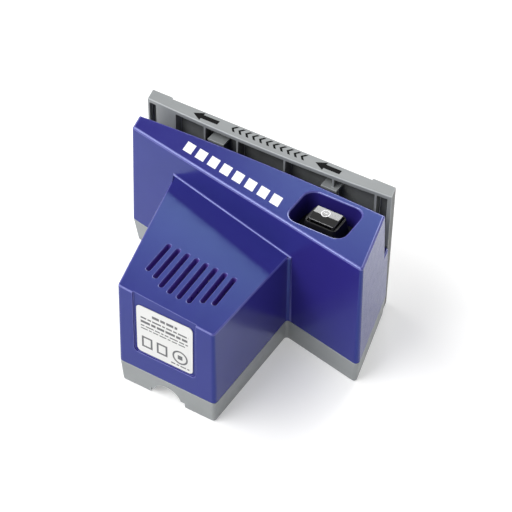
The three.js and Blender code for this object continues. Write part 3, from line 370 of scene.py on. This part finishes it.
def rounded(node, edge_width, segments=3, divisions=(), pick_painted_shade=None, clamp=False):
    """The node's own shape with its edges rounded. edge_width(middle, first, second, hollow) gives each
    sharp edge's rounding in millimetres, from the edge's middle, the directions of its two faces and
    whether it is an inside corner. The optional picker of faces, called with (middle, up), picks the faces
    that lie in the shade, and these get the copy of the material with painted shade. The rounded edges
    get the lighter copy, a painted highlight."""
    bm = bmesh.new()
    bm.from_mesh(frame["nodes"][node].data)
    bmesh.ops.remove_doubles(bm, verts=bm.verts, dist=MERGE_DISTANCE)
    for height, y in divisions:
        divide(bm, height, y)
    for face in bm.faces:
        face.smooth = True
        face.material_index = FACE
    bmesh.ops.dissolve_limit(
        bm, angle_limit=FLAT_ANGLE, verts=bm.verts, edges=bm.edges, delimit={"SEAM"}
    )
    # Faces in the shade take the copy of the material with painted shade.
    if pick_painted_shade:
        for face in bm.faces:
            if pick_painted_shade(face.calc_center_median() / MM, face.normal):
                face.material_index = PAINTED_SHADE
    weights = bm.edges.layers.float.new("bevel_weight_edge")
    wanted = {}
    for edge in bm.edges:
        if len(edge.link_faces) != 2 or edge.calc_face_angle(0) < SHARP_ANGLE:
            continue
        middle = (edge.verts[0].co + edge.verts[1].co) / 2 / MM
        first, second = edge.link_faces
        hollow = edge.calc_face_angle_signed(0) < 0
        wanted[edge] = edge_width(middle, first.normal, second.normal, hollow)
    widest = max(wanted.values())
    for edge, width in wanted.items():
        edge[weights] = width / widest
    mesh = bpy.data.meshes.new(node + "_shape")
    bm.to_mesh(mesh)
    bm.free()
    slot = SLOT_OF[node]
    mesh.materials.append(MATERIALS[slot])
    mesh.materials.append(MATERIALS[PAINTED_HIGHLIGHT_OF.get(slot, slot)])
    mesh.materials.append(MATERIALS[PAINTED_SHADE_OF.get(slot, slot)])
    mesh.set_sharp_from_angle(angle=SHARP_ANGLE)
    piece = link_piece(node + "_moulded", mesh, slot, BODY_OF[node], node)
    bevel = piece.modifiers.new("edges", "BEVEL")
    bevel.limit_method = "WEIGHT"
    bevel.width = widest * MM
    bevel.segments = segments
    bevel.use_clamp_overlap = clamp
    # The rounded edges take the lighter copy of the material: a painted highlight.
    bevel.material = PAINTED_HIGHLIGHT
    bevel.harden_normals = False
    normals = piece.modifiers.new("shading", "WEIGHTED_NORMAL")
    normals.keep_sharp = True
    normals.weight = 50


def print_on(name, outlines, place, ink):
    """The mesh of flat marks. Each outline is a closed run of (u, v) in millimetres, and
    place(u, v, lift) puts a point on the surface, lifted off it. The marks sink half their
    thickness into the surface."""
    bm = bmesh.new()
    for outline in outlines:
        corners = [bm.verts.new((u, v, 0)) for u, v in outline]
        bm.faces.new(corners)
    bmesh.ops.remove_doubles(bm, verts=bm.verts, dist=1e-4)
    bmesh.ops.recalc_face_normals(bm, faces=bm.faces)
    for face in bm.faces:
        if face.normal.z < 0:
            face.normal_flip()
    lower = list(bm.faces)
    raised = bmesh.ops.extrude_face_region(bm, geom=lower, use_keep_orig=True)["geom"]
    top = [v for v in raised if isinstance(v, bmesh.types.BMVert)]
    for vert in top:
        vert.co.z = MARK_THICKNESS
    for face in lower:
        face.normal_flip()
    for vert in bm.verts:
        u, v, w = vert.co
        vert.co = place(u, v, w - MARK_THICKNESS / 2) * MM
    mesh = bpy.data.meshes.new(name)
    bm.to_mesh(mesh)
    bm.free()
    mesh.materials.append(MATERIALS[ink])
    return mesh


def ring_outlines(x, y, outer, inner):
    """A flat ring as quads."""
    steps = 40
    quads = []
    for k in range(steps):
        a = 2 * math.pi * k / steps
        b = 2 * math.pi * (k + 1) / steps
        quads.append(
            [
                (x + inner * math.cos(a), y + inner * math.sin(a)),
                (x + outer * math.cos(a), y + outer * math.sin(a)),
                (x + outer * math.cos(b), y + outer * math.sin(b)),
                (x + inner * math.cos(b), y + inner * math.sin(b)),
            ]
        )
    return quads


def slanted_block(x, y, width, height, lean=0.0):
    """A four-sided block with its foot's middle at (x, y) and its top moved along by the lean."""
    half = width / 2
    return [
        (x - half, y),
        (x + half, y),
        (x + half + lean, y + height),
        (x - half + lean, y + height),
    ]


# ---------------------------------------------------------------- edges and deep walls, by node
# Zones of the cover seen from above, in millimetres: low and high x, then low and high y.
SLOT_ZONE = (-22, 28, -53, -18)
POCKET_ZONE = (27, 64, 13, 42)
BAY_ZONE = (-16, 26, -70, -58)
COVER_FOOT_Z = 16  # edges below this belong to the cover's lower rim
BAR_TOP_Z = 79  # and edges above this to the bar's top
POCKET_LOW_Z = 63
SLOT_EDGE_Z = 58
SLOT_WALL_Z = 57
DOWNWARD = -0.5  # a face whose normal's z is below this belongs to the cover's inside
UPRIGHT = 0.5  # a face whose normal's z stays within this stands upright
TRAY_SEAM_Z = 13
LIP_Z = 82
RAIL_BACK_Y = 57
WEB_FRONT_Y = 55
WEB_TOP_Z = 80
RIBS_ZONE = (-60, 70, 52, 58)
FACING = 0.9  # a face whose normal has this much along an axis faces that way

# Flat faces with holes are divided away from their corners: the heights they lie between, and y.
COVER_DIVISIONS = (((58, 72), -26), ((58, 72), 19), ((79, 82), 27.4))
COLLAR_DIVISIONS = (((75, 76), 29.3),)


def in_zone(point, zone):
    x0, x1, y0, y1 = zone
    return x0 < point.x < x1 and y0 < point.y < y1


def cover_edges(middle, first, second, hollow):
    if middle.z < COVER_FOOT_Z:
        return 0.25
    if min(first.z, second.z) < DOWNWARD:
        return 0.0
    if in_zone(middle, POCKET_ZONE) and middle.z > POCKET_LOW_Z:
        return 0.9 if middle.z > BAR_TOP_Z else 0.6
    if in_zone(middle, SLOT_ZONE) and middle.z > SLOT_EDGE_Z:
        return 0.45
    if in_zone(middle, BAY_ZONE):
        return 0.2
    if middle.z > BAR_TOP_Z:
        return 1.25
    return 0.9 if hollow else 0.8


def cover_painted_shade(middle, up):
    """The walls of the cooling slots, which get painted shade."""
    return in_zone(middle, SLOT_ZONE) and middle.z > SLOT_WALL_Z and abs(up.z) < UPRIGHT


def tray_edges(middle, first, second, hollow):
    seam = middle.z > TRAY_SEAM_Z
    return 0.2 if seam else 0.4


def rail_edges(middle, first, second, hollow):
    lip = middle.z > LIP_Z
    back = middle.y > RAIL_BACK_Y and not hollow
    if lip:
        return 0.45
    return 0.4 if back else 0.2


def rail_painted_shade(middle, up):
    """The rail's web and the sides of its ribs, in the shade behind the bar. They get painted shade."""
    web = up.y < -FACING and middle.y > WEB_FRONT_Y and middle.z < WEB_TOP_Z
    sides = abs(up.x) > FACING and in_zone(middle, RIBS_ZONE)
    return web or sides


def cap_edges(middle, first, second, hollow):
    upright = abs(first.z) < 0.3 and abs(second.z) < 0.3
    return 1.4 if upright else 0.35


def even(width):
    """The same rounding for every edge."""
    return lambda middle, first, second, hollow: width


rounded("top_cover", cover_edges, 4, COVER_DIVISIONS, cover_painted_shade)
rounded("base_shell", tray_edges)
rounded("guide_rail", rail_edges, pick_painted_shade=rail_painted_shade)
rounded("label_plate", even(0.12), 2)
rounded("switch_boot", even(0.1), 4, COLLAR_DIVISIONS)
rounded("rocker_cap", cap_edges, 4)

SHAPED = ("top_cover", "base_shell", "guide_rail", "label_plate", "switch_boot", "rocker_cap")
WHEEL_TRAIN = ("grinding_wheel", "wheel_hub", "wheel_screw", "motor_can", "bearing_plate")
for name in frame["nodes"]:
    if name not in SHAPED:
        rounded(name, even(0.3 if name in WHEEL_TRAIN else 0.15), 2, clamp=True)


# ---------------------------------------------------------------- marks
def add_marks(name, outlines, place, slot, ink, body="housing"):
    link_piece(name, print_on(name, outlines, place, ink), slot, body)


def lip_marks():
    """Two plain arrows that point along the work's way, and a row of chevrons between them."""

    def place(u, v, lift):
        return Vector((u, rail_high.y - v, rail_high.z + lift))

    def arrow(tip, tail):
        """Its v runs from the rail's back towards the bar."""
        head = tip + 5.8
        return [
            (tip, 5.2),
            (head, 2.1),
            (head, 3.9),
            (tail, 3.9),
            (tail, 6.9),
            (head, 6.9),
            (head, 8.6),
        ]

    def chevron(x, low=2.7, high=7.3, thick=1.5, reach=1.9):
        mid = (low + high) / 2
        return [
            [(x, mid), (x + reach, low), (x + reach + thick, low), (x + thick, mid)],
            [(x, mid), (x + thick, mid), (x + reach + thick, high), (x + reach, high)],
        ]

    arrows = [arrow(-53.0, -37.0), arrow(22.6, 37.7)]
    first, last, count = -29.0, 13.5, 11
    row = []
    for k in range(count):
        row.extend(chevron(first + (last - first) * k / (count - 1)))
    add_marks("direction_arrows", arrows, place, "grey_plastic", "ink_black")
    add_marks("direction_chevrons", row, place, "grey_plastic", "ink_black")


def bar_stripe():
    """A row of plain slanted blocks along the bar's top."""
    start = Vector((-44.6, 31.0))
    end = Vector((23.5, 18.8))
    along = (end - start).normalized()
    across = Vector((-along.y, along.x))

    def place(u, v, lift):
        spot = start + along * u + across * v
        return Vector((spot.x, spot.y, cover_top + lift))

    count, height, lean = 8, 7.0, -2.3
    pitch = (end - start).length / count
    width = pitch * 0.68
    blocks = [slanted_block(pitch * (k + 0.5), 0, width, height, lean) for k in range(count)]
    add_marks("stripe_blocks", blocks, place, "blue_plastic", "ink_white")


def label_marks():
    """Plain grey lines and shapes where a rating plate has print."""
    size = label_high - label_low
    lean = (size.y - LABEL_THICKNESS) / size.z

    def place(u, v, lift):
        return Vector((label_low.x + u, label_low.y + lean * v - lift, label_low.z + v))

    def stroke(x0, x1, y, height):
        return [(x0, y), (x1, y), (x1, y + height), (x0, y + height)]

    def dashes(start, end, y, height, lengths):
        """Dashes of the given lengths, over and over, with even gaps, from start to end."""
        row, x, k = [], start, 0
        while x < end:
            stop = min(x + lengths[k % len(lengths)], end)
            row.append(stroke(x, stop, y, height))
            x = stop + DASH_GAP
            k += 1
        return row

    lines = dashes(9.5, 24.5, 27.0, 1.7, (4.2, 2.8))
    lines += dashes(2.6, 31.0, 24.2, 1.0, (3.4, 2.1, 5.2, 1.6))
    lines += dashes(2.6, 30.4, 21.2, 1.6, (5.6, 2.6, 4.4))
    lines += dashes(2.6, 31.2, 18.9, 0.8, (2.2, 4.8, 3.0, 1.4))
    lines += dashes(2.6, 29.0, 17.0, 0.7, (4.1, 1.7, 3.2))
    lines += dashes(20.5, 31.5, 1.9, 0.8, (2.6, 1.5, 3.4))
    shapes = []
    for x in (3.0, 12.0):
        shapes += [stroke(x, x + 6.4, 4.2, 1.1), stroke(x, x + 6.4, 10.6, 1.1)]
        shapes += [stroke(x, x + 1.1, 5.3, 5.3), stroke(x + 5.3, x + 6.4, 5.3, 5.3)]
    shapes += ring_outlines(26.0, 8.2, 4.6, 3.6)
    shapes += [stroke(24.6, 27.4, 6.8, 2.8)]
    add_marks("label_lines", lines, place, "label_white", "ink_grey")
    add_marks("label_shapes", shapes, place, "label_white", "ink_grey")


def rocker_symbol():
    """A ring with a short bar, drawn over the cap's two faces."""
    crease = cap_middle.y
    fall = math.tan(ROCKER_TILT)

    def place(u, v, lift):
        return Vector((u, v, cap_high.z - max(0.0, crease - v) * fall + lift))

    x, y = cap_middle.x - 1.0, crease + 1.6
    marks = ring_outlines(x, y, 2.5, 1.95)
    marks += [slanted_block(x, y - 0.1, 2.0, 0.5)]
    add_marks("rocker_symbol", marks, place, "black_plastic", "ink_white", "rocker")


lip_marks()
bar_stripe()
label_marks()
rocker_symbol()


# ---------------------------------------------------------------- the CAD's own nodes
for name, node in frame["nodes"].items():
    node.data.materials.clear()
    node.data.materials.append(MATERIALS[SLOT_OF[name]])

# ---------------------------------------------------------------- the picture
make_camera()
make_stage()
make_world()
add_softbox("key", -143, 50, 1.5, (1.3, 0.8), 6.4)
add_softbox("side", -85, 50, 1.5, (0.9, 0.9), 2.2)
add_softbox("backdrop", -8, 25, 1.6, (1.03, 1.18), 4.2)

view = bpy.context.scene.view_settings
view.view_transform = "Standard"
view.look = "None"
